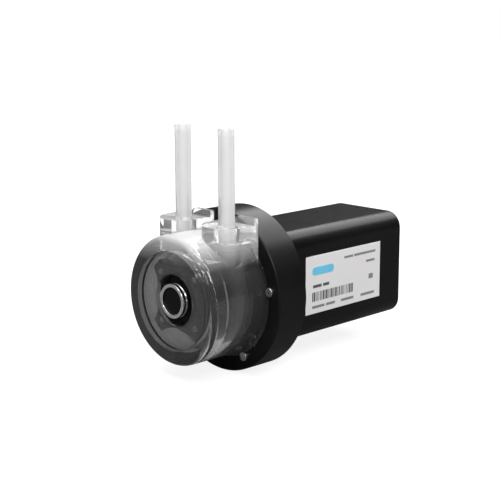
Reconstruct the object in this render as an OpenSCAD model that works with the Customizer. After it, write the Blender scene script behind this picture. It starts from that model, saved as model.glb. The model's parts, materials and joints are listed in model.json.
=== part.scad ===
// Small peristaltic pump: a clear pump head with a four-roller rotor, a round mounting flange that
// holds a planetary gear stage, and a brushed motor in a rounded housing behind it.
// Origin: on the pump's axis at the flange's rear face, which seats on a panel.
// Axes: +Y runs back along the pump's axis, +Z up through the tube ends, +X towards the label.

/* [Mounting flange] */
// Radius of the flange
flange_r = 20.6; // [20:0.1:23]
// Thickness of the flange
flange_t = 9.25; // [9:0.05:11]
// Depth of the seat that the pump head sits in
seat_depth = 1.2; // [1:0.05:1.4]

/* [Motor housing] */
// Width of the housing, across the label's side
housing_w = 25.3; // [25:0.1:27]
// Height of the housing
housing_h = 28; // [27.6:0.1:30]
// Length of the housing behind the flange
housing_l = 45.75; // [45:0.25:60]
// Radius of the housing's long edges
housing_corner = 4.3; // [4:0.1:5]
// Thickness of the housing's wall
housing_wall = 1.6; // [1.4:0.1:1.8]

/* [Pump head] */
// Outer radius of the clear cup
cup_r = 16; // [15.8:0.1:16.2]
// How far the cup stands in front of the flange
cup_l = 16.5; // [16.5:0.1:18]
// Radius of the round window in the cup's front wall
window_r = 6.4; // [6:0.1:6.8]
// Radius of the two tube ports
port_r = 6; // [5.5:0.1:6.2]
// Height of the ports' tops above the pump's axis
port_top_z = 18.3; // [18:0.1:20]

/* [Pump tube] */
// Distance of each tube end from the middle plane
port_x = 7.73; // [7.6:0.01:7.9]
// Outer radius of the tube
tube_r = 2; // [1.8:0.1:2]
// Radius of the tube's bore
lumen_r = 1; // [0.8:0.1:1.2]
// Height of the tube ends above the pump's axis
tube_top_z = 41.3; // [30:0.1:60]

/* [Rotor] */
// Number of rollers
roller_count = 4; // [4:1:4]
// Radius of the circle through the roller axes
roller_pitch_r = 8.6; // [8.5:0.1:8.7]
// Radius of each roller
roller_r = 2.7; // [2.5:0.1:2.7]

/* [Gears] */
// Module of the gears
gear_module = 0.5; // [0.5:0.01:0.5]
// Teeth of the sun gear and of each planet gear
small_teeth = 12; // [12:1:12]
// Width of the gears
gear_w = 2.7; // [2:0.1:2.8]

/* [Hidden] */

$fn = 64;
cut = 0.5;            // how far a cutting tool runs past what it cuts
run_gap = 0.05;       // radial clearance of a running fit
thread_gap = 0.02;    // radial clearance of a screw in its hole

// Places along the pump's axis
tube_setback = 4.92;  // from the flange's front face to the tube's middle plane
flange_front_y = -flange_t;
seat_y = flange_front_y + seat_depth;
cup_front_y = flange_front_y - cup_l;
tube_y = flange_front_y - tube_setback;
housing_seat_y = -1;  // the housing stands in a shallow recess in the flange's rear face
motor_y = -0.3;       // front of the motor

// Clear cup
cup_front_wall = 1;   // of the front wall's recessed middle
front_recess_r = 12.2;
front_recess_t = 1.3;
inner_front_y = cup_front_y + front_recess_t + cup_front_wall;
cup_shoulder_r = 1.6;
cup_lip_proud = 0.85;
cup_lip_r = cup_r + cup_lip_proud;
cup_lip_t = 1.1;
seat_gap = 0.2;
seat_r = cup_lip_r + seat_gap;
race_gap = 0.1;       // between the tube and the race wall
race_r = 13.1;
front_cavity_r = 12;
front_cavity_l = 3.55;
port_gap = 0.3;       // between the ports' flat backs and the flange
port_back_y = flange_front_y - port_gap;
port_base_z = 6;
collar_z = 14.4;
collar_lip_top_z = 20;
collar_lip_t = 1.2;
collar_lip_x = [-1, 6];
collar_lip_corner = 1.5;
port_bore_r = tube_r + 0.3;

// Pump tube: down each port, round an outward bend, then once round the race
race_tube_r = race_r - race_gap - tube_r;
bend_r = 6;
bend_angle = acos((port_x + bend_r) / (race_tube_r + bend_r));
bend_z = (race_tube_r + bend_r) * sin(bend_angle);
race_sweep = 180 + 2 * bend_angle;
roller_press_gap = 0.05;
joint_gap = 0.08;
joint_band_l = 0.5;

// Rotor
roller_angle = 45;
rotor_setback = 3.1;  // from the cup's front to the front plate
front_plate_t = 2.45;
roller_l = 9.6;
rotor_end_gap = 0.2;
rotor_seat_gap = 0.35;
rotor_y = cup_front_y + rotor_setback;
roller_front_y = rotor_y + front_plate_t + rotor_end_gap;
roller_back_y = roller_front_y + roller_l;
front_plate_y = [rotor_y, rotor_y + front_plate_t];
rear_plate_y = [roller_back_y + rotor_end_gap, seat_y - rotor_seat_gap];
lobe_r = 11.2;
waist_r = 7.2;
waist_curve_r = 12.5;
rotor_hub_r = 4.7;
pin_r = 0.75;
pin_proud = 0.3;
nose_setback = 0.5;
nose_y = cup_front_y + nose_setback;
nose_ring_r = 4.25;
nose_ring_bore = 3.4;
nose_groove_place = 0.42;  // along the ring, from its front, as a share of its length
nose_groove_w = 0.26;
nose_groove_t = 0.2;
nose_cap_recess = 0.35;
shaft_r = 1.5;

// Gears: the sun drives three planets inside a fixed ring, and their carrier turns the rotor
pressure_angle = 25;
flank_steps = 4;
flank_play = 0.03;
planet_count = 3;
ring_teeth = 3 * small_teeth;
small_pitch_r = gear_module * small_teeth / 2;
ring_pitch_r = gear_module * ring_teeth / 2;
planet_orbit_r = 2 * small_pitch_r;
addendum = gear_module;
dedendum = 1.25 * gear_module;
pocket_floor_t = 1.65;
pocket_y = seat_y + pocket_floor_t;
ring_outer_r = 11;
pocket_r = ring_outer_r + 0.05;
carrier_gap = 0.3;
carrier_t = 1.2;
carrier_y = [pocket_y + carrier_gap, pocket_y + carrier_gap + carrier_t];
carrier_r = 8;
gear_y = [carrier_y[1] + rotor_end_gap, carrier_y[1] + rotor_end_gap + gear_w];
bearing_r = 3;
motor_plate_y = motor_y - 1.2;

// Motor
can_r = 10.2;
can_flat = 15.4;
can_wall = 0.8;
can_back_y = motor_y + 26;
end_cap_t = 2.5;
end_cap_y = can_back_y + end_cap_t;
motor_shaft_r = 1;
motor_boss_r = 3;
rear_bush_r = 2.5;
armature_r = 6.9;
armature_y = [motor_y + 4.5, motor_y + 17.5];
magnet_y = [motor_y + 3, motor_y + 19];
magnet_t = 1.9;
magnet_side_gap = 0.4;
pole_count = 3;
pole_w = 2.6;
coil_w = 4.8;
commutator_r = 2.4;
commutator_y = [motor_y + 20, motor_y + 24.5];
brush = [1.5, 2.4, 1.8];
brush_x = commutator_r + run_gap;
brush_y = (commutator_y[0] + commutator_y[1]) / 2;
brush_spring_t = 0.25;
motor_screw_z = 5.6;
motor_screw_head_r = 1.3;
motor_screw_head_h = 0.2;
terminal_z = 5.5;
terminal_x = 3.4;
terminal_root = 0.5;
terminal_back_y = end_cap_y + 3.5;
terminal_size = [1.8, 0.5];

// Housing, rear cover and power socket
cover_t = 1.9;
cover_inset = 0.2;
cover_gap = 0.1;
cover_back_y = housing_l - cover_inset;
cover_front_y = cover_back_y - cover_t;
boss_r = 2.2;
boss_inset = 1.9;
boss_x = housing_w / 2 - housing_wall - boss_inset;
boss_z = housing_h / 2 - housing_wall - boss_inset;
front_boss_l = 12;
rear_boss_l = 10;
screw_r = 0.8;
screw_head_r = 1.45;
screw_head_h = 1.1;
socket_size = [9.4, 7];
socket_hole = [7.2, 4.8];
socket_l = 9;
socket_floor = 1;
socket_floor_y = housing_l - socket_l;
socket_pin_x = 1.8;
socket_pin_r = 0.45;
socket_pin_l = 3.4;
socket_pin_tail = 1.5;
wire_r = 0.6;
wire_elbow_r = 0.62;
wire_straight = 0.9;

// Head screws clamp the cup's lip, all round except beneath the ports
head_screw_angles = [8, -61, -119, 172];
head_screw_pcr = 17.6;
head_screw_r = 0.6;
head_screw_head_r = 1.1;
head_screw_head_h = 0.6;
head_screw_l = 4.5;

// Label on the +X side
label_y = [8.3, 37.25];
label_z = [-7.7, 7.4];
label_t = 0.15;

// ---- shared shapes -------------------------------------------------------------------------

// Turns the children's Z axis to point forwards (-Y), starting at y
module facing_front(y) {
    translate([0, y, 0])
        rotate([90, 0, 0])
            children();
}

// A round disc on the pump's axis
module disc(r, y0, y1) {
    facing_front(y1)
        cylinder(r = r, h = y1 - y0);
}

// A round sleeve on the pump's axis
module sleeve(r_out, r_in, y0, y1) {
    difference() {
        disc(r_out, y0, y1);
        disc(r_in, y0 - cut, y1 + cut);
    }
}

// A flat outline in X and Z, made y0 to y1 thick
module plate(y0, y1) {
    facing_front(y1)
        linear_extrude(y1 - y0)
            children();
}

// Repeats the children round the pump's axis, the first at angle a0 from +X
module round_axis(count, a0) {
    for (i = [0 : count - 1])
        rotate([0, -a0 - i * 360 / count, 0])
            children();
}

module rounded_rect(w, h, r) {
    for (sx = [-1, 1], sz = [-1, 1])
        translate([sx * (w / 2 - r), sz * (h / 2 - r)])
            circle(r = r);
    square([w, h - 2 * r], center = true);
    square([w - 2 * r, h], center = true);
}

// A pan-head screw that points back (+Y), its head resting on the plane y = 0
module pan_screw(head_r, head_h, r, l) {
    disc(head_r, -head_h, 0);
    disc(r, -head_h / 2, l);
}

// A straight round rod between two points
module rod(a, b, r) {
    d = b - a;
    translate(a)
        rotate([0, acos(d[2] / norm(d)), atan2(d[1], d[0])])
            cylinder(r = r, h = norm(d));
}

// ---- pump head -----------------------------------------------------------------------------

// The D-shaped outline of a port, in X and Y, rounded at the front and flat against the flange
module port_outline() {
    depth = port_back_y - tube_y;
    intersection() {
        circle(r = port_r);
        translate([-port_r, -port_r])
            square([2 * port_r, port_r + depth]);
    }
    translate([-port_r, 0])
        square([2 * port_r, depth]);
}

module port_column(side) {
    translate([side * port_x, tube_y, port_base_z])
        linear_extrude(collar_z - port_base_z)
            port_outline();
}

module cup_outer() {
    facing_front(seat_y)
        rotate_extrude() {
            square([cup_r - cup_shoulder_r, cup_l + seat_depth]);
            square([cup_r, cup_l + seat_depth - cup_shoulder_r]);
            translate([cup_r - cup_shoulder_r, cup_l + seat_depth - cup_shoulder_r])
                circle(r = cup_shoulder_r);
        }
    disc(cup_lip_r, seat_y - cup_lip_t, seat_y);
}

module head_cup() {
    color([0.82, 0.84, 0.86, 0.4])
        difference() {
            union() {
                cup_outer();
                for (side = [-1, 1])
                    port_column(side);
            }
            disc(front_recess_r, cup_front_y - cut, cup_front_y + front_recess_t);
            disc(front_cavity_r, inner_front_y, seat_y + cut);
            disc(race_r, inner_front_y + front_cavity_l, seat_y + cut);
            disc(window_r, cup_front_y - cut, inner_front_y + cut);
            for (side = [-1, 1])
                translate([side * port_x, tube_y, port_base_z])
                    cylinder(r = port_bore_r, h = collar_z);
        }
}

// A clear collar on a port, which grips the tube; its raised lip stands at the back
module port_collar(side) {
    lip_w = collar_lip_x[1] - collar_lip_x[0];
    lip_h = collar_lip_top_z - port_top_z;
    difference() {
        union() {
            translate([side * port_x, tube_y, collar_z])
                linear_extrude(port_top_z - collar_z)
                    port_outline();
            translate([side * port_x + collar_lip_x[0], 0, port_top_z])
                plate(port_back_y - collar_lip_t, port_back_y) {
                    square([lip_w, lip_h - collar_lip_corner]);
                    translate([collar_lip_corner, 0])
                        square([lip_w - collar_lip_corner, lip_h]);
                    translate([collar_lip_corner, lip_h - collar_lip_corner])
                        circle(r = collar_lip_corner);
                }
        }
        disc(cup_r + thread_gap, cup_front_y, seat_y);
        translate([side * port_x, tube_y, collar_z - cut])
            cylinder(r = tube_r + run_gap, h = port_top_z);
    }
}

module port_collar_left() {
    color([0.88, 0.89, 0.9, 0.4])
        port_collar(-1);
}

module port_collar_right() {
    color([0.88, 0.89, 0.9, 0.4])
        port_collar(1);
}

// A round bar bent in the tube's plane, about a point, stopping a little short of both its ends
module bent_bar(centre, curve_r, from_angle, sweep) {
    short = joint_gap / curve_r * 180 / PI;
    translate([centre[0], tube_y, centre[1]])
        rotate([90, 0, 0])
            rotate([0, 0, from_angle + short])
                rotate_extrude(angle = sweep - 2 * short)
                    translate([curve_r, 0])
                        circle(r = tube_r);
}

// A short, barely wider band that joins two bars; its axis leans from +Z by an angle
module joint_band(at, lean) {
    translate([at[0], tube_y, at[1]])
        rotate([0, lean, 0])
            cylinder(r = tube_r + joint_gap / 4, h = joint_band_l, center = true);
}

module tube_leg() {
    bend_centre = [port_x + bend_r, bend_z];
    race_end = [race_tube_r * cos(bend_angle), race_tube_r * sin(bend_angle)];
    translate([port_x, tube_y, bend_z + joint_gap])
        cylinder(r = tube_r, h = tube_top_z - bend_z - joint_gap);
    bent_bar(bend_centre, bend_r, 180, bend_angle);
    joint_band([port_x, bend_z], 0);
    joint_band(race_end, -bend_angle);
}

module pump_tube() {
    color([0.93, 0.94, 0.95, 0.6])
        difference() {
            union() {
                bent_bar([0, 0], race_tube_r, 180 - bend_angle, race_sweep);
                tube_leg();
                mirror([1, 0, 0])
                    tube_leg();
            }
            for (side = [-1, 1])
                translate([side * port_x, tube_y, bend_z])
                    cylinder(r = lumen_r, h = tube_top_z);
            roller_places()
                disc(roller_r + roller_press_gap, roller_front_y - cut, roller_back_y + cut);
        }
}

module head_screws() {
    color([0.8, 0.8, 0.8])
        for (a = head_screw_angles)
            rotate([0, -a, 0])
                translate([head_screw_pcr, flange_front_y, 0])
                    pan_screw(head_screw_head_r, head_screw_head_h, head_screw_r, head_screw_l);
}

// ---- rotor ---------------------------------------------------------------------------------

// Puts the children at one roller's axis
module roller_place(i) {
    rotate([0, -roller_angle - i * 360 / roller_count, 0])
        translate([roller_pitch_r, 0, 0])
            children();
}

module roller_places() {
    for (i = [0 : roller_count - 1])
        roller_place(i)
            children();
}

// Four lobes with hollow sides between them
module rotor_star() {
    waist_centre = waist_r + waist_curve_r;
    difference() {
        circle(r = lobe_r);
        for (i = [0 : roller_count - 1])
            rotate([0, 0, i * 360 / roller_count])
                translate([waist_centre, 0])
                    circle(r = waist_curve_r);
    }
}

module rotor_plate(y0, y1, bore) {
    difference() {
        plate(y0, y1)
            rotor_star();
        disc(bore, y0 - cut, y1 + cut);
        roller_places()
            disc(pin_r, y0 - cut, y1 + cut);
    }
}

module rotor_front_plate() {
    color([0.05, 0.05, 0.06])
        rotor_plate(front_plate_y[0], front_plate_y[1], shaft_r);
}

module rotor_rear_plate() {
    color([0.05, 0.05, 0.06])
        rotor_plate(rear_plate_y[0], rear_plate_y[1], shaft_r);
}

module rotor_hub() {
    color([0.06, 0.06, 0.07])
        sleeve(rotor_hub_r, shaft_r, front_plate_y[1], rear_plate_y[0]);
}

// Polished ring on the rotor's nose, with a groove round it
module hub_ring() {
    groove_y = nose_y + nose_groove_place * (front_plate_y[0] - nose_y);
    color([0.78, 0.78, 0.79])
        difference() {
            sleeve(nose_ring_r, nose_ring_bore, nose_y, front_plate_y[0]);
            sleeve(nose_ring_r + cut, nose_ring_r - nose_groove_t,
                   groove_y - nose_groove_w / 2, groove_y + nose_groove_w / 2);
        }
}

module rotor_cap() {
    color([0.04, 0.04, 0.05])
        disc(nose_ring_bore, nose_y + nose_cap_recess, front_plate_y[0]);
}

module roller(i) {
    color([0.9, 0.9, 0.88])
        roller_place(i)
            sleeve(roller_r, pin_r + run_gap, roller_front_y, roller_back_y);
}

module roller_pins() {
    color([0.75, 0.76, 0.78])
        roller_places()
            disc(pin_r, front_plate_y[0] - pin_proud, rear_plate_y[1]);
}

// ---- gear stage ----------------------------------------------------------------------------

module drive_shaft() {
    color([0.7, 0.71, 0.73])
        disc(shaft_r, front_plate_y[0], carrier_y[1]);
}

module output_bearing() {
    color([0.72, 0.6, 0.36])
        sleeve(bearing_r, shaft_r + run_gap, seat_y, pocket_y);
}

// The involute of an angle, in degrees
function involute(a) = tan(a) * 180 / PI - a;

// Half the angle that a tooth spans at radius rho
function half_tooth(teeth, rho, play) =
    let (
        pitch_r = gear_module * teeth / 2,
        base_r = pitch_r * cos(pressure_angle),
        at = acos(min(1, base_r / rho))
    )
    90 / teeth - play / pitch_r * 180 / PI + involute(pressure_angle) - involute(at);

// Outline of a gear with its first tooth on the +X axis
function gear_outline(teeth, root_r, tip_r, play) = [
    for (tooth = [0 : teeth - 1], side = [-1, 1], step = [0 : flank_steps])
        let (
            share = side < 0 ? step / flank_steps : 1 - step / flank_steps,
            rho = root_r + (tip_r - root_r) * share,
            a = 360 / teeth * tooth + side * half_tooth(teeth, rho, play)
        )
        [rho * cos(a), rho * sin(a)]
];

// A small gear, turned by the given angle in its own plane
module small_gear(turn, bore) {
    difference() {
        plate(gear_y[0], gear_y[1])
            rotate([0, 0, turn])
                polygon(gear_outline(small_teeth, small_pitch_r - dedendum,
                                     small_pitch_r + addendum, flank_play));
        disc(bore, gear_y[0] - cut, gear_y[1] + cut);
    }
}

module ring_gear() {
    color([0.2, 0.2, 0.22])
        difference() {
            disc(ring_outer_r, pocket_y, motor_plate_y);
            plate(pocket_y - cut, motor_plate_y + cut)
                rotate([0, 0, 90 + 180 / ring_teeth])
                    polygon(gear_outline(ring_teeth, ring_pitch_r - addendum,
                                         ring_pitch_r + dedendum, -flank_play));
        }
}

// Planet i of the stage: a gap between its teeth faces the sun
module planet_gear(i) {
    color([0.86, 0.84, 0.78])
        rotate([0, -90 - i * 360 / planet_count, 0])
            translate([planet_orbit_r, 0, 0])
                small_gear(180 / small_teeth, pin_r + run_gap);
}

module sun_gear() {
    color([0.76, 0.62, 0.32])
        small_gear(90, motor_shaft_r);
}

module planet_carrier() {
    color([0.6, 0.61, 0.63])
        difference() {
            disc(carrier_r, carrier_y[0], carrier_y[1]);
            disc(shaft_r, carrier_y[0] - cut, carrier_y[1] + cut);
            round_axis(planet_count, 90)
                translate([planet_orbit_r, 0, 0])
                    disc(pin_r, carrier_y[0] - cut, carrier_y[1] + cut);
        }
}

module planet_pins() {
    color([0.7, 0.71, 0.73])
        round_axis(planet_count, 90)
            translate([planet_orbit_r, 0, 0])
                disc(pin_r, carrier_y[0], gear_y[1] + rotor_end_gap / 2);
}

// ---- flange --------------------------------------------------------------------------------

module housing_screw_places() {
    for (sx = [-1, 1], sz = [-1, 1])
        translate([sx * boss_x, 0, sz * boss_z])
            children();
}

module flange_blank() {
    edge = 0.5;
    facing_front(0)
        rotate_extrude() {
            square([flange_r - edge, flange_t]);
            square([flange_r, flange_t - edge]);
            translate([flange_r - edge, flange_t - edge])
                circle(r = edge);
        }
}

module mounting_flange() {
    recess_gap = 0.05;
    color([0.1, 0.1, 0.11])
        difference() {
            flange_blank();
            disc(seat_r, flange_front_y - cut, seat_y);
            disc(bearing_r, seat_y - cut, pocket_y + cut);
            disc(pocket_r, pocket_y, cut);
            plate(housing_seat_y, cut)
                rounded_rect(housing_w + 2 * recess_gap, housing_h + 2 * recess_gap,
                             housing_corner + recess_gap);
            for (a = head_screw_angles)
                rotate([0, -a, 0])
                    translate([head_screw_pcr, 0, 0])
                        disc(head_screw_r + thread_gap, flange_front_y - cut,
                             flange_front_y + head_screw_l + cut);
            housing_screw_places() {
                disc(screw_head_r + run_gap, seat_y - cut, seat_y + screw_head_h);
                disc(screw_r + thread_gap, seat_y - cut, cut);
            }
        }
}

module housing_screws() {
    color([0.7, 0.7, 0.72])
        housing_screw_places()
            translate([0, seat_y + screw_head_h, 0])
                pan_screw(screw_head_r, screw_head_h, screw_r, front_boss_l + pocket_y - seat_y);
}

// ---- motor ---------------------------------------------------------------------------------

// The flat-sided round outline of the motor, made smaller by inset
module motor_outline(inset) {
    intersection() {
        circle(r = can_r - inset);
        square([can_flat - 2 * inset, 2 * can_r], center = true);
    }
}

module motor_screw_places() {
    for (side = [-1, 1])
        translate([0, 0, side * motor_screw_z])
            children();
}

module motor_plate() {
    color([0.62, 0.63, 0.65])
        difference() {
            disc(ring_outer_r, motor_plate_y, motor_y);
            disc(motor_boss_r + run_gap, motor_plate_y - cut, motor_y + cut);
            motor_screw_places()
                disc(screw_r + thread_gap, motor_plate_y - cut, motor_y + cut);
        }
}

module motor_screws() {
    color([0.75, 0.75, 0.76])
        motor_screw_places()
            translate([0, motor_plate_y, 0])
                pan_screw(motor_screw_head_r, motor_screw_head_h, screw_r,
                          motor_y - motor_plate_y + can_wall);
}

module motor_can() {
    color([0.72, 0.73, 0.75])
        difference() {
            plate(motor_y, can_back_y)
                motor_outline(0);
            plate(motor_y + can_wall, can_back_y + cut)
                motor_outline(can_wall);
            disc(motor_boss_r, motor_y - cut, motor_y + can_wall + cut);
            motor_screw_places()
                disc(screw_r + thread_gap, motor_y - cut, motor_y + can_wall + cut);
        }
}

module motor_front_bush() {
    color([0.7, 0.58, 0.35])
        sleeve(motor_boss_r, motor_shaft_r + run_gap,
               motor_plate_y + rotor_end_gap, motor_y + can_wall + 1);
}

module motor_rear_bush() {
    color([0.7, 0.58, 0.35])
        sleeve(rear_bush_r, motor_shaft_r + run_gap, can_back_y, end_cap_y);
}

module motor_magnets() {
    outer_r = can_r - can_wall - run_gap;
    half_w = can_flat / 2 - can_wall - magnet_side_gap;
    color([0.25, 0.25, 0.27])
        plate(magnet_y[0], magnet_y[1])
            intersection() {
                difference() {
                    circle(r = outer_r);
                    circle(r = outer_r - magnet_t);
                }
                square([2 * half_w, 2 * outer_r], center = true);
            }
}

module motor_shaft() {
    color([0.78, 0.79, 0.8])
        disc(motor_shaft_r, gear_y[0], end_cap_y - rotor_end_gap);
}

// Three poles, each an arm with a curved shoe at its end
module armature_core() {
    shoe_t = 1.1;
    hub_r = 2.6;
    slot_w = 1.6;
    color([0.45, 0.46, 0.48])
        plate(armature_y[0], armature_y[1])
            difference() {
                union() {
                    circle(r = hub_r);
                    for (i = [0 : pole_count - 1])
                        rotate(90 + i * 360 / pole_count)
                            translate([motor_shaft_r, -pole_w / 2])
                                square([armature_r - shoe_t / 2 - motor_shaft_r, pole_w]);
                    difference() {
                        circle(r = armature_r);
                        circle(r = armature_r - shoe_t);
                    }
                }
                circle(r = motor_shaft_r);
                for (i = [0 : pole_count - 1])
                    rotate(270 + i * 360 / pole_count)
                        translate([hub_r + shoe_t, -slot_w / 2])
                            square([armature_r, slot_w]);
            }
}

module armature_windings() {
    over = 1.1;
    inner = 2.7;
    outer = 5.2;
    y0 = armature_y[0] - over;
    y1 = armature_y[1] + over;
    color([0.72, 0.38, 0.16])
        round_axis(pole_count, 90)
            difference() {
                translate([inner, y0, -coil_w / 2])
                    cube([outer - inner, y1 - y0, coil_w]);
                translate([inner - cut, armature_y[0], -pole_w / 2])
                    cube([outer - inner + 2 * cut, armature_y[1] - armature_y[0], pole_w]);
            }
}

module commutator() {
    color([0.76, 0.5, 0.26])
        sleeve(commutator_r, motor_shaft_r, commutator_y[0], commutator_y[1]);
}

module motor_end_cap() {
    spigot_l = 1.4;
    spigot_wall = 1.6;
    color([0.88, 0.88, 0.86])
        difference() {
            union() {
                plate(can_back_y, end_cap_y)
                    motor_outline(0);
                plate(can_back_y - spigot_l, can_back_y + cut)
                    difference() {
                        motor_outline(can_wall + run_gap);
                        motor_outline(can_wall + spigot_wall);
                    }
            }
            disc(rear_bush_r, can_back_y - cut, end_cap_y + cut);
            terminals();
        }
}

// Carbon blocks on either side of the commutator
module motor_brushes() {
    color([0.2, 0.2, 0.2])
        for (side = [-1, 1])
            translate([side * (brush_x + brush[0] / 2), brush_y, 0])
                cube(brush, center = true);
}

// Flat springs that stand on the end cap and carry the brushes
module brush_springs() {
    front_y = brush_y - brush[1] / 2;
    color([0.8, 0.66, 0.36])
        for (side = [-1, 1])
            translate([side * (brush_x + brush[0] + brush_spring_t / 2), (front_y + can_back_y) / 2, 0])
                cube([brush_spring_t, can_back_y - front_y, brush[2]], center = true);
}

module terminals() {
    l = terminal_back_y - can_back_y + terminal_root;
    for (side = [-1, 1])
        translate([side * terminal_x, terminal_back_y - l / 2, terminal_z])
            cube([terminal_size[0], l, terminal_size[1]], center = true);
}

module motor_terminals() {
    color([0.8, 0.72, 0.45])
        terminals();
}

// Insulated leads from the motor's terminals to the socket's pins
module lead_wires() {
    pin_y = socket_floor_y - socket_pin_tail;
    color([0.6, 0.1, 0.08])
        for (side = [-1, 1]) {
            upper = [side * terminal_x, terminal_back_y + wire_straight, terminal_z];
            lower = [side * socket_pin_x, pin_y - wire_straight, 0];
            rod([side * terminal_x, terminal_back_y, terminal_z], upper, wire_r);
            rod(upper, lower, wire_r);
            rod(lower, [side * socket_pin_x, pin_y, 0], wire_r);
            for (elbow = [upper, lower])
                translate(elbow)
                    sphere(r = wire_elbow_r);
        }
}

// ---- housing, rear cover and label ---------------------------------------------------------

module motor_housing() {
    inner_corner = housing_corner - housing_wall;
    color([0.09, 0.09, 0.1])
        difference() {
            union() {
                plate(housing_seat_y, housing_l)
                    difference() {
                        rounded_rect(housing_w, housing_h, housing_corner);
                        rounded_rect(housing_w - 2 * housing_wall, housing_h - 2 * housing_wall,
                                     inner_corner);
                    }
                housing_screw_places() {
                    disc(boss_r, housing_seat_y, front_boss_l);
                    disc(boss_r, cover_front_y - rear_boss_l, cover_front_y);
                }
            }
            housing_screw_places() {
                disc(screw_r + thread_gap, housing_seat_y - cut, front_boss_l + cut);
                disc(screw_r + thread_gap, cover_front_y - rear_boss_l - cut, cover_front_y + cut);
            }
        }
}

module rear_cover() {
    w = housing_w - 2 * housing_wall - 2 * cover_gap;
    h = housing_h - 2 * housing_wall - 2 * cover_gap;
    color([0.09, 0.09, 0.1])
        difference() {
            plate(cover_front_y, cover_back_y)
                rounded_rect(w, h, housing_corner - housing_wall - cover_gap);
            plate(cover_front_y - cut, cover_back_y + cut)
                square(socket_size, center = true);
            housing_screw_places() {
                disc(screw_r + thread_gap, cover_front_y - cut, cover_back_y + cut);
                disc(screw_head_r + run_gap, cover_back_y - screw_head_h, cover_back_y + cut);
            }
        }
}

module rear_cover_screws() {
    color([0.7, 0.7, 0.72])
        housing_screw_places()
            translate([0, cover_back_y - screw_head_h, 0])
                mirror([0, 1, 0])
                    pan_screw(screw_head_r, screw_head_h, screw_r, rear_boss_l);
}

module power_socket() {
    color([0.85, 0.84, 0.8])
        difference() {
            plate(socket_floor_y, housing_l)
                square(socket_size, center = true);
            plate(socket_floor_y + socket_floor, housing_l + cut)
                square(socket_hole, center = true);
            socket_pin_places()
                disc(socket_pin_r, socket_floor_y - cut, housing_l);
        }
}

module socket_pin_places() {
    for (side = [-1, 1])
        translate([side * socket_pin_x, 0, 0])
            children();
}

module socket_pins() {
    color([0.8, 0.72, 0.45])
        socket_pin_places()
            disc(socket_pin_r, socket_floor_y - socket_pin_tail,
                 socket_floor_y + socket_floor + socket_pin_l);
}

module rating_label() {
    color([0.78, 0.79, 0.8])
        translate([housing_w / 2, label_y[0], label_z[0]])
            cube([label_t, label_y[1] - label_y[0], label_z[1] - label_z[0]]);
}

// ---- nodes ---------------------------------------------------------------------------------

head_cup();
port_collar_left();
port_collar_right();
pump_tube();
head_screws();
rotor_front_plate();
rotor_rear_plate();
rotor_hub();
hub_ring();
rotor_cap();
roller(0);  // roller_1
roller(1);  // roller_2
roller(2);  // roller_3
roller(3);  // roller_4
roller_pins();
drive_shaft();
output_bearing();
mounting_flange();
housing_screws();
ring_gear();
planet_carrier();
planet_pins();
planet_gear(0);  // planet_gear_1
planet_gear(1);  // planet_gear_2
planet_gear(2);  // planet_gear_3
sun_gear();
motor_plate();
motor_screws();
motor_can();
motor_front_bush();
motor_rear_bush();
motor_magnets();
motor_shaft();
armature_core();
armature_windings();
commutator();
motor_end_cap();
brush_springs();
motor_brushes();
motor_terminals();
lead_wires();
motor_housing();
rear_cover();
rear_cover_screws();
power_socket();
socket_pins();
rating_label();
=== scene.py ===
"""Looks of the peristaltic pump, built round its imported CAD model. Metres, in the model's own frame."""
import json
import math
import random

import bmesh
import bpy
from mathutils import Matrix, Vector


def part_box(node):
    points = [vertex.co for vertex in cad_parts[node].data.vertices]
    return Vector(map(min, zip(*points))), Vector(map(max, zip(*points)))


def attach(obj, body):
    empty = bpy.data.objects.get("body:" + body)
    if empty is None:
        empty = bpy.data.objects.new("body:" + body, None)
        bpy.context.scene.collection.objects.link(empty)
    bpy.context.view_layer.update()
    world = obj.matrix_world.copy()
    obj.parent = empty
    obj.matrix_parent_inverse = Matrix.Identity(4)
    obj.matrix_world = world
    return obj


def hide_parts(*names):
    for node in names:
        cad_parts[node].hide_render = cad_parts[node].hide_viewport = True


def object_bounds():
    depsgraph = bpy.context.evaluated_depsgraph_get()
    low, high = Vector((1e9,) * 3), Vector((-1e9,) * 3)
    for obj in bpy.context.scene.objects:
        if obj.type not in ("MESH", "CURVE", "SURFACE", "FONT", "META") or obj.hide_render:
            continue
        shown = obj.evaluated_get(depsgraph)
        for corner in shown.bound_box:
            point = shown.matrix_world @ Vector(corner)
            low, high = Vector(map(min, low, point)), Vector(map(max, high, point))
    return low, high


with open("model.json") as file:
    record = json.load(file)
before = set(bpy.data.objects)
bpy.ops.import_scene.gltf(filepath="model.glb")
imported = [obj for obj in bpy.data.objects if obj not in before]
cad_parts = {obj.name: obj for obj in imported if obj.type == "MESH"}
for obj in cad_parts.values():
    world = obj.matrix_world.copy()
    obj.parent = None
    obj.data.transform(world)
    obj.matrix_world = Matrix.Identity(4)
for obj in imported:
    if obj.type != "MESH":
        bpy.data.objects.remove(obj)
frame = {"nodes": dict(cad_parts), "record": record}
cad_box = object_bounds()
MM = 0.001


def grey(level):
    return (level, level, level)


# ---- node trees ----------------------------------------------------------------------------

def plug(tree, entry, value):
    """Links a socket to an input, or sets the input to a number or a colour of three shares."""
    if isinstance(value, bpy.types.NodeSocket):
        tree.links.new(value, entry)
    elif isinstance(value, tuple):
        entry.default_value = (*value, 1)
    else:
        entry.default_value = value


def mix_shaders(tree, share, first, second):
    """One shader that turns into another as the share goes from 0 to 1."""
    mix = tree.nodes.new("ShaderNodeMixShader")
    for entry, value in zip(mix.inputs, (share, first, second)):
        plug(tree, entry, value)
    return mix.outputs[0]


# ---- camera, light and floor ---------------------------------------------------------------

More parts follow.
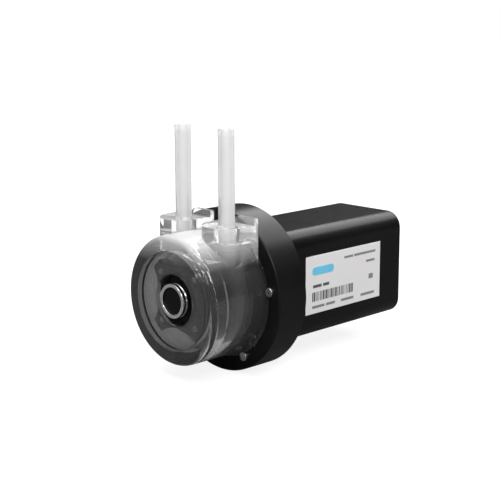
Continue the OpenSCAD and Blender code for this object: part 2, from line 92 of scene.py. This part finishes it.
def make_camera():
    """The camera stands in front, to the right and a little above the pump."""
    azimuth, elevation, roll = (math.radians(angle) for angle in (45.66, 12.254, -0.2))
    place = Vector((213.78, -207.78, 73.47)) * MM
    back = Vector((math.sin(azimuth) * math.cos(elevation),
                   -math.cos(azimuth) * math.cos(elevation),
                   math.sin(elevation)))
    level = Vector((math.cos(azimuth), math.sin(azimuth), 0))
    upright = level.cross(-back)
    right = math.cos(roll) * level + math.sin(roll) * upright
    up = -math.sin(roll) * level + math.cos(roll) * upright
    data = bpy.data.cameras.new("camera")
    data.sensor_width = 36
    data.lens = 86.86
    data.clip_start = 0.01
    data.clip_end = 100
    camera = bpy.data.objects.new("camera", data)
    bpy.context.scene.collection.objects.link(camera)
    turn = Matrix((right, up, back)).transposed().to_4x4()
    camera.matrix_world = Matrix.Translation(place) @ turn
    bpy.context.scene.camera = camera


def area_light(name, place, size, power):
    """A soft box that faces the pump's axis at the flange."""
    data = bpy.data.lights.new(name, "AREA")
    data.shape = "RECTANGLE"
    data.size, data.size_y = size
    data.energy = power
    light = bpy.data.objects.new(name, data)
    light.location = place
    light.rotation_mode = "QUATERNION"
    light.rotation_quaternion = (-Vector(place)).to_track_quat("-Z", "Y")
    bpy.context.scene.collection.objects.link(light)


def make_world(top, horizon):
    """A soft studio, brighter overhead than at the sides, that looks white behind the pump."""
    horizon_stop, top_stop = 0.25, 0.9
    world = bpy.data.worlds.new("studio")
    bpy.context.scene.world = world
    world.use_nodes = True
    tree = world.node_tree
    tree.nodes.clear()
    place = tree.nodes.new("ShaderNodeTexCoord")
    split = tree.nodes.new("ShaderNodeSeparateXYZ")
    tree.links.new(place.outputs["Generated"], split.inputs[0])
    ramp = tree.nodes.new("ShaderNodeValToRGB")
    tree.links.new(split.outputs["Z"], ramp.inputs[0])
    low_end, high_end = ramp.color_ramp.elements
    low_end.position = horizon_stop
    low_end.color = (*grey(horizon), 1)
    high_end.position = top_stop
    high_end.color = (*grey(top), 1)
    studio = tree.nodes.new("ShaderNodeBackground")
    plug(tree, studio.inputs[0], ramp.outputs[0])
    white = tree.nodes.new("ShaderNodeBackground")
    plug(tree, white.inputs[0], grey(1))
    rays = tree.nodes.new("ShaderNodeLightPath")
    seen = mix_shaders(tree, rays.outputs["Is Camera Ray"], studio.outputs[0], white.outputs[0])
    out = tree.nodes.new("ShaderNodeOutputWorld")
    tree.links.new(seen, out.inputs[0])


def make_floor_paper():
    """Pale paper that glows a little, and is a dimmer grey in reflections."""
    mat = bpy.data.materials.new("floor_paper")
    mat.use_nodes = True
    tree = mat.node_tree
    pale = tree.nodes["Principled BSDF"]
    looks = {"Base Color": grey(0.22), "Emission Color": grey(1), "Emission Strength": 0.86,
             "Roughness": 0.9, "Specular IOR Level": 0.0}
    for name, value in looks.items():
        plug(tree, pale.inputs[name], value)
    dim = tree.nodes.new("ShaderNodeBsdfDiffuse")
    plug(tree, dim.inputs["Color"], grey(0.13))
    rays = tree.nodes.new("ShaderNodeLightPath")
    paper = mix_shaders(tree, rays.outputs["Is Reflection Ray"], pale.outputs["BSDF"], dim.outputs[0])
    tree.links.new(paper, tree.nodes["Material Output"].inputs["Surface"])
    return mat


def make_stage():
    """A floor that the flange's lowest edge touches."""
    half = 30.0
    corners = [(x, y, cad_box[0].z) for x, y in
               ((-half, -half), (half, -half), (half, half), (-half, half))]
    mesh = bpy.data.meshes.new("floor")
    mesh.from_pydata(corners, [], [(0, 1, 2, 3)])
    mesh.update()
    mesh.materials.append(make_floor_paper())
    floor = bpy.data.objects.new("floor", mesh)
    bpy.context.scene.collection.objects.link(floor)


def make_lights():
    make_world(top=1.0, horizon=0.05)
    area_light("overhead", (-0.1, -0.15, 1.1), (1.0, 1.0), 5.0)
    area_light("back_box", (-0.1, 0.55, 0.5), (0.7, 0.3), 3.4)
    area_light("shoulder_strip", (0.2, -0.25, 0.75), (1.1, 0.12), 5.5)
    area_light("edge_strip", (0.6, -0.2, 0.22), (0.03, 0.5), 0.55)
    area_light("key_box", (0.55, -0.35, 0.5), (0.25, 0.25), 4.0)
    bpy.context.scene.view_settings.view_transform = "Standard"


# ---- material building ---------------------------------------------------------------------

class Shader:
    """A material's node tree, with short calls for the nodes that are used here."""

    def __init__(self, name):
        self.mat = bpy.data.materials.new(name)
        self.mat.use_nodes = True
        self.tree = self.mat.node_tree
        self.nodes = self.tree.nodes
        self.links = self.tree.links
        self.main = self.nodes["Principled BSDF"]
        self.out = self.nodes["Material Output"]
        self.coords = self.nodes.new("ShaderNodeTexCoord").outputs["Object"]

    def set(self, **values):
        for key, value in values.items():
            plug(self.tree, self.main.inputs[key.replace("_", " ")], value)

    def noise(self, scale, detail=3.0, roughness=0.5, stretch=(1, 1, 1)):
        """Smooth noise; scale is features per metre."""
        coords = self.coords
        if stretch != (1, 1, 1):
            mapping = self.nodes.new("ShaderNodeMapping")
            mapping.inputs["Scale"].default_value = stretch
            self.links.new(coords, mapping.inputs["Vector"])
            coords = mapping.outputs["Vector"]
        node = self.nodes.new("ShaderNodeTexNoise")
        node.inputs["Scale"].default_value = scale
        node.inputs["Detail"].default_value = detail
        node.inputs["Roughness"].default_value = roughness
        self.links.new(coords, node.inputs["Vector"])
        return node.outputs["Fac"]

    def span(self, value, low, high, from_low=0.3, from_high=0.7):
        """Maps a value from a range of its own to low..high."""
        node = self.nodes.new("ShaderNodeMapRange")
        node.inputs["From Min"].default_value = from_low
        node.inputs["From Max"].default_value = from_high
        node.inputs["To Min"].default_value = low
        node.inputs["To Max"].default_value = high
        self.links.new(value, node.inputs["Value"])
        return node.outputs["Result"]

    def shades(self, value, dark, light):
        """A colour between two others."""
        node = self.nodes.new("ShaderNodeMix")
        node.data_type = "RGBA"
        colour_a, colour_b = node.inputs[6], node.inputs[7]
        plug(self.tree, colour_a, dark)
        plug(self.tree, colour_b, light)
        self.links.new(value, node.inputs[0])
        return node.outputs[2]

    def calculate(self, operation, *values):
        node = self.nodes.new("ShaderNodeMath")
        node.operation = operation
        for entry, value in zip(node.inputs, values):
            plug(self.tree, entry, value)
        return node.outputs[0]

    def axes(self):
        """The place on the piece, as its three coordinates."""
        split = self.nodes.new("ShaderNodeSeparateXYZ")
        self.links.new(self.coords, split.inputs[0])
        return split.outputs

    def bump(self, height, strength, distance):
        node = self.nodes.new("ShaderNodeBump")
        node.inputs["Strength"].default_value = strength
        node.inputs["Distance"].default_value = distance
        self.links.new(height, node.inputs["Height"])
        self.links.new(node.outputs["Normal"], self.main.inputs["Normal"])

    def feed(self, name, socket):
        self.links.new(socket, self.main.inputs[name])


def plastic(name, dark, light, rough, specular=0.5):
    """Moulded plastic with a fine spark-eroded grain and slight unevenness."""
    grain_scale, grain_strength, grain_depth = 9000, 0.6, 6e-6
    s = Shader(name)
    s.set(IOR=1.5, Specular_IOR_Level=specular)
    s.feed("Base Color", s.shades(s.span(s.noise(60), 0, 1), dark, light))
    s.feed("Roughness", s.span(s.noise(220, 4), *rough))
    s.bump(s.noise(grain_scale, 2), grain_strength, grain_depth)
    return s.mat


def metal(name, dark, light, rough, stretch=(1, 1, 1), scale=1500):
    """Metal with fine turning or brushing marks along one axis."""
    mark_strength, mark_depth = 0.25, 4e-6
    s = Shader(name)
    s.set(Metallic=1.0)
    marks = s.noise(scale, 3, 0.6, stretch)
    s.feed("Base Color", s.shades(s.span(marks, 0, 1), dark, light))
    s.feed("Roughness", s.span(marks, *rough))
    s.bump(marks, mark_strength, mark_depth)
    return s.mat


def painted_shade_tint(s, painted_shade_grey, clearer):
    """Painted shade in the plastic's tint: smoke-grey lower down, clear towards the ports, near black at
    the window and on the recess's wall.

    The near black on the recess's wall is painted shade; without it the wall would show as a bright
    crescent.
    """
    # dark is the painted near-black shade at the window and on the recess's wall
    dark = grey(0.02)
    painted_shade_top, clear_from = 9 * MM, 16 * MM
    window_edge, fade = 6.65 * MM, 0.1 * MM
    recess_r, recess_band = 12.2 * MM, 0.15 * MM
    place = s.axes()
    # painted shade: the tint is smoke-grey up to one height and clears to the plastic's own colour higher
    # up
    body = s.shades(s.span(place["Z"], 0, 1, painted_shade_top, clear_from), painted_shade_grey, clearer)
    flat = s.nodes.new("ShaderNodeCombineXYZ")
    s.links.new(place["X"], flat.inputs["X"])
    s.links.new(place["Z"], flat.inputs["Y"])
    reach = s.nodes.new("ShaderNodeVectorMath")
    reach.operation = "LENGTH"
    s.links.new(flat.outputs[0], reach.inputs[0])
    from_axis = reach.outputs["Value"]
    beyond_window = s.span(from_axis, 0, 1, window_edge, window_edge + fade)
    # a thin ring of painted shade on the recess's wall
    painted_wall_shade = s.calculate("COMPARE", from_axis, recess_r, recess_band)
    tint = s.shades(s.calculate("SUBTRACT", beyond_window, painted_wall_shade), dark, body)
    s.feed("Base Color", tint)
    return tint


def clear(name, colour, rough, ior, haze, haze_colour, painted_shade_grey=None, painted_haze_by_height=None):
    """Clear moulded plastic with some milk in it. Shadow and diffuse rays pass straight through.

    The last argument, if given, holds the haze higher up, and the heights at which it starts and is full.
    This rise of haze with height is painted light and shade: milkier and lighter higher up, clearer and
    darker lower down.
    """
    wave_strength, wave_depth = 0.1, 2e-5
    s = Shader(name)
    s.set(Base_Color=colour, Transmission_Weight=1.0, IOR=ior)
    # when a smoke grey is given, the tint carries painted shade
    tint = painted_shade_tint(s, painted_shade_grey, colour) if painted_shade_grey else colour
    s.feed("Roughness", s.span(s.noise(120, 3), *rough))
    s.bump(s.noise(90, 2), wave_strength, wave_depth)
    milk = s.nodes.new("ShaderNodeBsdfDiffuse")
    plug(s.tree, milk.inputs["Color"], haze_colour)
    # painted light and shade: more milk higher up lightens the top and leaves the lower parts darker
    if painted_haze_by_height:
        haze = s.span(s.axes()["Z"], haze, *painted_haze_by_height)
    milky = mix_shaders(s.tree, haze, s.main.outputs["BSDF"], milk.outputs[0])
    through = s.nodes.new("ShaderNodeBsdfTransparent")
    plug(s.tree, through.inputs["Color"], tint)
    rays = s.nodes.new("ShaderNodeLightPath")
    open_to = s.calculate("MAXIMUM", rays.outputs["Is Shadow Ray"], rays.outputs["Is Diffuse Ray"])
    surface = mix_shaders(s.tree, open_to, milky, through.outputs[0])
    s.links.new(surface, s.out.inputs["Surface"])
    return s.mat


def clear_finishes():
    return {
        # the head's cup: painted shade in its smoke tint lower down, painted light in its milkier top
        "clear_plastic": clear("clear_plastic", (0.85, 0.85, 0.855), (0.03, 0.08), 1.45, 0.025,
                               grey(0.65), (0.3, 0.3, 0.305), (0.45, 9 * MM, 15.5 * MM)),
        "collar_plastic": clear("collar_plastic", (0.92, 0.92, 0.925), (0.015, 0.06), 1.5, 0.1,
                                grey(0.9)),
        # the tube: less milky inside the head than on its ends above the ports, as painted shade inside
        # the head
        "silicone_tube": clear("silicone_tube", (0.8, 0.8, 0.805), (0.04, 0.1), 1.42, 0.3,
                               grey(0.75), painted_haze_by_height=(0.5, 14 * MM, 18 * MM)),
    }


def plastic_finishes():
    """Each plastic's darker and lighter shade, its roughness range and, if not 0.5, its specular."""
    looks = {
        "satin_black": ((0.0025, 0.0025, 0.0028), (0.005, 0.005, 0.0055), (0.27, 0.31), 0.15),
        "black_plastic": (grey(0.003), grey(0.006), (0.2, 0.34), 0.08),
        "roller_plastic": (grey(0.03), grey(0.05), (0.3, 0.45)),
        "gear_plastic": ((0.62, 0.6, 0.5), (0.72, 0.7, 0.6), (0.3, 0.45)),
        "dark_gear_plastic": (grey(0.02), (0.035, 0.035, 0.04), (0.35, 0.5)),
        "white_plastic": ((0.7, 0.7, 0.67), (0.8, 0.8, 0.77), (0.35, 0.5)),
        "socket_plastic": ((0.62, 0.6, 0.54), (0.7, 0.68, 0.62), (0.35, 0.5)),
        "wire_red": ((0.35, 0.02, 0.015), (0.45, 0.03, 0.02), (0.4, 0.55)),
        "carbon": (grey(0.01), grey(0.03), (0.5, 0.7)),
        "magnet": ((0.03, 0.03, 0.032), (0.06, 0.06, 0.065), (0.45, 0.65)),
        "label": ((0.62, 0.61, 0.61), (0.66, 0.65, 0.65), (0.3, 0.4), 0.3),
        "print_grey": (grey(0.05), grey(0.09), (0.4, 0.5)),
        "print_pale": (grey(0.16), grey(0.22), (0.4, 0.5)),
        "print_blue": ((0.1, 0.42, 0.62), (0.14, 0.5, 0.7), (0.4, 0.5)),
    }
    return {name: plastic(name, *look) for name, look in looks.items()}


def metal_finishes():
    """Each metal's darker and lighter shade, roughness range and, if it has them, marks."""
    looks = {
        "steel": ((0.5, 0.5, 0.51), (0.66, 0.66, 0.68), (0.22, 0.36)),
        "polished_steel": ((0.7, 0.7, 0.71), (0.82, 0.82, 0.83), (0.08, 0.18), (1, 0.05, 1)),
        "can_steel": ((0.5, 0.5, 0.52), (0.62, 0.62, 0.64), (0.28, 0.42)),
        "core_steel": ((0.2, 0.2, 0.21), (0.34, 0.34, 0.35), (0.3, 0.5), (1, 40, 1), 400),
        "bronze": ((0.42, 0.28, 0.13), (0.56, 0.4, 0.2), (0.35, 0.5)),
        "brass": ((0.6, 0.44, 0.18), (0.76, 0.58, 0.28), (0.2, 0.34)),
        "copper": ((0.5, 0.2, 0.08), (0.72, 0.34, 0.16), (0.25, 0.4), (1, 30, 1), 500),
    }
    return {name: metal(name, *look) for name, look in looks.items()}


# ---- the CAD's own pieces ------------------------------------------------------------------

LEAST_EDGE = 0.08       # millimetres, as are the edge widths below
WIDE_EDGE = 0.2         # a wider edge than this is rounded in three steps


def soften(node, width):
    """Small moulded or broken edges and smooth curved faces, all by modifiers."""
    weld_gap, flat_angle, edge_angle = 1e-6, math.radians(0.6), math.radians(32)
    for polygon in node.data.polygons:
        polygon.use_smooth = True
    weld = node.modifiers.new("weld", "WELD")
    weld.merge_threshold = weld_gap
    flat = node.modifiers.new("flat_faces", "DECIMATE")
    flat.decimate_type = "DISSOLVE"
    flat.angle_limit = flat_angle
    bevel = node.modifiers.new("edges", "BEVEL")
    bevel.limit_method = "ANGLE"
    bevel.angle_limit = edge_angle
    bevel.width = width * MM
    bevel.segments = 3 if width > WIDE_EDGE else 2
    bevel.miter_outer = "MITER_ARC"
    normals = node.modifiers.new("normals", "WEIGHTED_NORMAL")
    normals.keep_sharp = True


def edge_widths():
    """How far the edges of the larger nodes are rounded; the other nodes take the least."""
    widths = {
        "mounting_flange": 0.35, "motor_housing": 0.3, "rear_cover": 0.25, "power_socket": 0.15,
        "head_cup": 0.28, "port_collar_left": 0.32, "port_collar_right": 0.32,
        "rotor_front_plate": 0.2, "rotor_rear_plate": 0.2, "rotor_hub": 0.2, "rotor_cap": 0.3,
        "hub_ring": 0.32,
    }
    widths.update({f"roller_{i}": 0.25 for i in range(1, 5)})
    return widths


def dress_nodes(finishes):
    """Gives every CAD node the finish of its slot, and soft edges."""
    slots = {row["node"]: row["material_slot"] for row in frame["record"]["subparts"]}
    widths = edge_widths()
    for name, node in frame["nodes"].items():
        finish = "collar_plastic" if name.startswith("port_collar") else slots[name]
        node.data.materials.clear()
        node.data.materials.append(finishes[finish])
        soften(node, widths.get(name, LEAST_EDGE))


def add_mesh(name, verts, faces, material, smooth):
    """A closed piece from points and faces, in metres, that rides on the pump's body."""
    mesh = bpy.data.meshes.new(name)
    mesh.from_pydata(verts, [], faces)
    mesh.validate()
    mesh.update()
    for polygon in mesh.polygons:
        polygon.use_smooth = smooth
    mesh.materials.append(material)
    piece = bpy.data.objects.new(name, mesh)
    bpy.context.scene.collection.objects.link(piece)
    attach(piece, "pump_body")
    bm = bmesh.new()
    bm.from_mesh(mesh)
    bmesh.ops.recalc_face_normals(bm, faces=bm.faces)
    bm.to_mesh(mesh)
    bm.free()
    return piece


# ---- pump tube -----------------------------------------------------------------------------

TUBE_R = 2.0            # millimetres, as are all the sizes in this section
TUBE_WALL = 1.0
TUBE_CHAMFER = 0.12     # at the rims of both ends
COLLAR_R = 6.0          # from a port collar's front to the tube's centre line
ROLLER_R = 2.7
ROLLER_PITCH = 8.6
ROLLER_GAP = 0.06       # between a roller and the tube it squeezes
SQUEEZED = 1.7          # least thickness of the squeezed tube


def tube_route(port_x, top_z):
    """Points of the tube's centre line from the right end to the left, each with its outward normal."""
    race_r, bend_r = 11.0, 6.0
    leg_steps, bend_steps, race_steps = 16, 12, 54
    bend_angle = math.acos((port_x + bend_r) / (race_r + bend_r))
    bend_z = (race_r + bend_r) * math.sin(bend_angle)
    half = []
    for i in range(leg_steps):
        half.append(((port_x, top_z + (bend_z - top_z) * i / leg_steps), (1.0, 0.0)))
    for i in range(bend_steps):
        a = bend_angle * i / bend_steps
        out = (math.cos(a), math.sin(a))
        half.append(((port_x + bend_r - bend_r * out[0], bend_z - bend_r * out[1]), out))
    for i in range(race_steps):
        a = bend_angle - (bend_angle + math.pi / 2) * i / race_steps
        out = (math.cos(a), math.sin(a))
        half.append(((race_r * out[0], race_r * out[1]), out))
    lowest = ((0.0, -race_r), (0.0, -1.0))
    mirrored = [((-point[0], point[1]), (-out[0], out[1])) for point, out in reversed(half)]
    return half + [lowest] + mirrored


def tube_thickness(route):
    """How thick the tube is at each point of its route, squeezed where a roller bears on it."""
    softening_passes = 3
    rollers = [(ROLLER_PITCH * math.cos(a), ROLLER_PITCH * math.sin(a))
               for a in (math.radians(45 + 90 * i) for i in range(4))]
    reach = ROLLER_R + ROLLER_GAP
    thick = []
    for point, out in route:
        wall = (point[0] + TUBE_R * out[0], point[1] + TUBE_R * out[1])
        room = 2 * TUBE_R
        for roller in rollers:
            away = (wall[0] - roller[0], wall[1] - roller[1])
            along = away[0] * out[0] + away[1] * out[1]
            across = abs(away[0] * out[1] - away[1] * out[0])
            if along > 0 and across < reach:
                room = min(room, along - math.sqrt(reach ** 2 - across ** 2))
        thick.append(max(SQUEEZED, room))
    for _ in range(softening_passes):
        padded = [thick[0]] + thick + [thick[-1]]
        softer = [(padded[i] + 2 * padded[i + 1] + padded[i + 2]) / 4 for i in range(len(thick))]
        thick = [min(a, b) for a, b in zip(thick, softer)]
    return thick


def tube_ring(point, out, thick, plane_y, inset):
    """One ring of points round the tube: round where it is free, a flat oval where it is squeezed."""
    count = 28
    least_half_bore = 0.04
    squareness = 0.35
    half_t = thick / 2
    half_w = math.pi * TUBE_R / 2 - (math.pi / 2 - 1) * half_t
    centre = [point[k] + (TUBE_R - half_t) * out[k] for k in range(2)]
    power = 1 - squareness * (1 - half_t / TUBE_R)
    half_t = max(half_t - inset, least_half_bore)
    half_w -= inset
    ring = []
    for i in range(count):
        a = 2 * math.pi * i / count
        c, q = math.cos(a), math.sin(a)
        depth = half_t * math.copysign(abs(c) ** power, c)
        width = half_w * math.copysign(abs(q) ** power, q)
        ring.append(Vector((centre[0] + depth * out[0], plane_y + width,
                            centre[1] + depth * out[1])) * MM)
    return ring


def make_tube(finish):
    """The silicone tube, with its bore, squeezed flat under each roller."""
    low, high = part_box("port_collar_right")
    port_x = (low.x + high.x) / 2 / MM
    plane_y = low.y / MM + COLLAR_R
    route = tube_route(port_x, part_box("pump_tube")[1].z / MM)
    thick = tube_thickness(route)
    outer, inner = ([tube_ring(point, out, t, plane_y, inset) for (point, out), t in zip(route, thick)]
                    for inset in (0.0, TUBE_WALL))
    for ring in (outer[0], outer[-1], inner[0], inner[-1]):
        for corner in ring:
            corner.z -= TUBE_CHAMFER * MM
    right_end, left_end = ([tube_ring(*end, 2 * TUBE_R, plane_y, inset)
                            for inset in (TUBE_CHAMFER, TUBE_WALL - TUBE_CHAMFER)]
                           for end in (route[0], route[-1]))
    loops = right_end[::-1] + outer + left_end + inner[::-1]
    count = len(loops[0])
    verts = [corner for ring in loops for corner in ring]
    faces = []
    for k in range(len(loops)):
        a, b = k * count, (k + 1) % len(loops) * count
        for i in range(count):
            j = (i + 1) % count
            faces.append((a + i, a + j, b + j, b + i))
    tube = add_mesh("silicone_tube", verts, faces, finish, smooth=True)
    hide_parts("pump_tube")


# ---- label print ---------------------------------------------------------------------------

def label_block(verts, faces, box, y, z, corner):
    """Adds one flat printed block to the lists; y and z are spans, as shares of the label."""
    low, high = box
    proud = 0.03 * MM
    corner_steps = 4
    ys = [low.y + (high.y - low.y) * share for share in y]
    zs = [high.z - (high.z - low.z) * share for share in z]
    r = corner * MM
    outline = []
    if r:
        for cy, cz, start in ((ys[1] - r, zs[0] - r, 0), (ys[0] + r, zs[0] - r, 90),
                              (ys[0] + r, zs[1] + r, 180), (ys[1] - r, zs[1] + r, 270)):
            for step in range(corner_steps + 1):
                a = math.radians(start + step * 90 / corner_steps)
                outline.append((cy + r * math.cos(a), cz + r * math.sin(a)))
    else:
        outline = [(ys[1], zs[0]), (ys[0], zs[0]), (ys[0], zs[1]), (ys[1], zs[1])]
    base, count = len(verts), len(outline)
    for x in (high.x - proud, high.x + proud):
        verts.extend(Vector((x, py, pz)) for py, pz in outline)
    faces.append(tuple(base + i for i in range(count)))
    faces.append(tuple(base + count + i for i in reversed(range(count))))
    for i in range(count):
        j = (i + 1) % count
        faces.append((base + i, base + count + i, base + count + j, base + j))


def bar_row(start, end, rows):
    """Upright bars of mixed widths along one row."""
    random.seed(7)
    bars = []
    edge = start
    while edge < end:
        wide = random.choice((0.006, 0.009, 0.014, 0.02))
        bars.append(((edge, edge + wide), rows))
        edge += wide + random.choice((0.007, 0.01, 0.014))
    return bars


def make_label_print(finishes):
    """Neutral bars where a label would carry print, with a plain block for a mark."""
    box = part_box("rating_label")
    name_row, top_row, low_row = (0.505, 0.555), (0.125, 0.165), (0.865, 0.91)
    square_corner, box_corner, mark_corner = 0.0, 0.3, 0.9
    dark = bar_row(0.08, 0.62, (0.63, 0.79)) + [((0.09, 0.2), name_row), ((0.22, 0.3), name_row)]
    pale = [((0.5, 0.62), top_row), ((0.635, 0.93), top_row), ((0.8, 0.92), (0.28, 0.32)),
            ((0.84, 0.9), (0.54, 0.63), box_corner),
            ((0.08, 0.24), low_row), ((0.26, 0.38), low_row),
            ((0.46, 0.63), low_row), ((0.73, 0.92), low_row)]
    mark = [((0.08, 0.36), (0.2, 0.34), mark_corner)]
    for name, blocks, finish in (("label_bars", dark, "print_grey"),
                                 ("label_lines", pale, "print_pale"),
                                 ("label_mark", mark, "print_blue")):
        verts, faces = [], []
        for y, z, *corner in blocks:
            label_block(verts, faces, box, y, z, corner[0] if corner else square_corner)
        add_mesh(name, verts, faces, finishes[finish], smooth=False)


make_camera()
make_lights()
make_stage()
finishes = clear_finishes() | plastic_finishes() | metal_finishes()
dress_nodes(finishes)
make_tube(finishes["silicone_tube"])
make_label_print(finishes)
